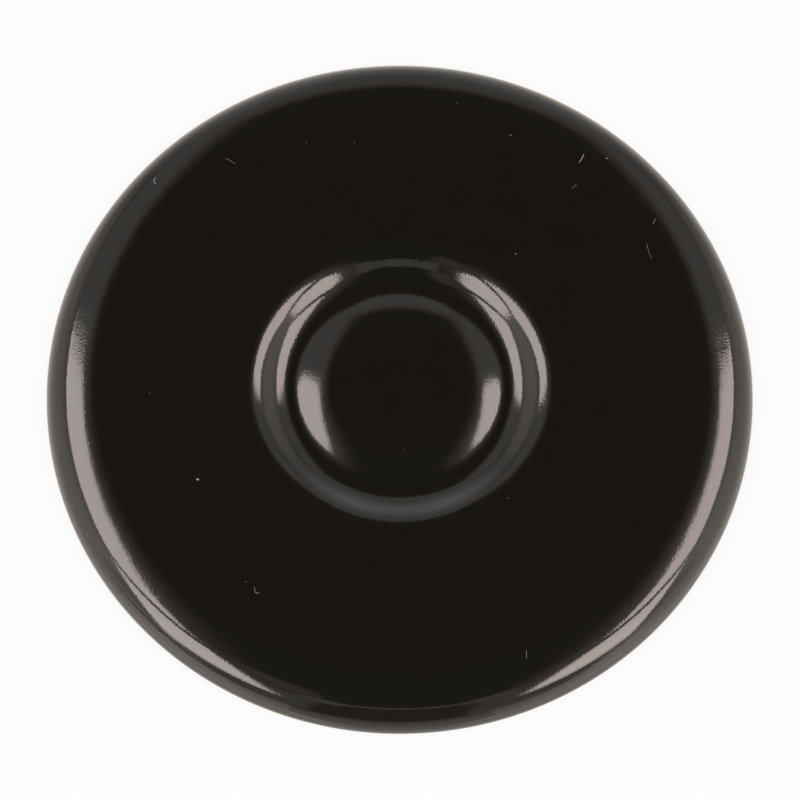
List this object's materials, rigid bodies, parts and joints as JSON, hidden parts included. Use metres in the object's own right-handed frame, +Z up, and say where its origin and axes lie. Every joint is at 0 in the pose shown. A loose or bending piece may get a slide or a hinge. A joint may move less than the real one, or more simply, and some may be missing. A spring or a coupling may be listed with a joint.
{
  "type": "gas burner cap",
  "caption": "Round enamelled steel cap with a flat top, rolled rim, short skirt and a ring groove around a low button; rests on a gas burner head and spreads its flame.",
  "frame": {"origin": "middle of the ring on which the skirt's foot stands, on the cap's axis", "axes": "+Z up along the cap's axis, from the foot to the flat top; X and Y are free, because the cap is round"},
  "size_m": [0.075, 0.075, 0.0044],
  "materials": {
    "black_enamel": "gloss"
  },
  "bodies": {
    "root": {"burner_cap": "black_enamel"}
  },
  "joints": []
}
